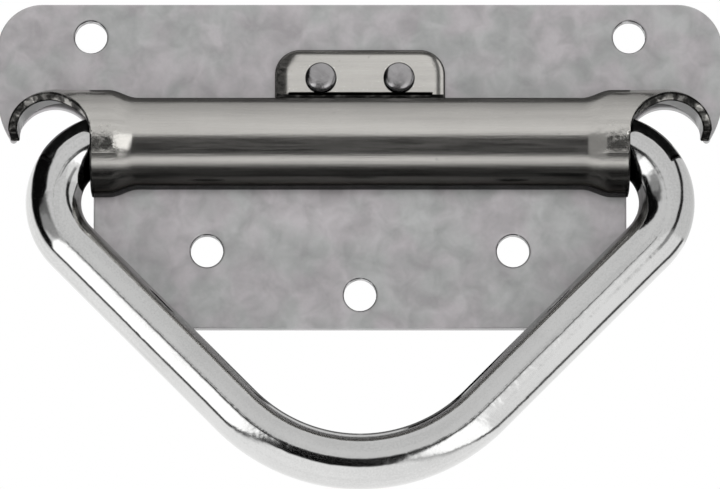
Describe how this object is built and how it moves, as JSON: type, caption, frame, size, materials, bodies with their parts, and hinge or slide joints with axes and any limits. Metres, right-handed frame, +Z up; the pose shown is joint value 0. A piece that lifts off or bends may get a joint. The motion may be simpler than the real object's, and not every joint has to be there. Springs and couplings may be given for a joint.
{
  "type": "lifting lug",
  "caption": "Hinged round-bar lifting ring held by a formed sheet channel on a T-shaped, screw-fixed steel back plate.",
  "frame": {"origin": "on the back face of the plate, level with the ring's hinge line, in the middle of the width", "axes": "+X across to the right as seen from the front, +Y back into what the plate is fixed to, +Z up"},
  "size_m": [0.13, 0.0176, 0.0881],
  "materials": {
    "galvanised_plate": "satin",
    "bright_sheet": "gloss",
    "bright_bar": "gloss",
    "rivet_steel": "satin"
  },
  "bodies": {
    "bracket": {"back_plate": "galvanised_plate", "retainer": "bright_sheet", "rivets": "rivet_steel"},
    "ring": {"ring": "bright_bar"}
  },
  "joints": [
    {"name": "ring_swing", "type": "hinge", "parent": "bracket", "child": "ring", "pos_m": [0, -0.0083, 0], "axis": [-1, 0, 0], "range_deg": [0, 90]}
  ]
}
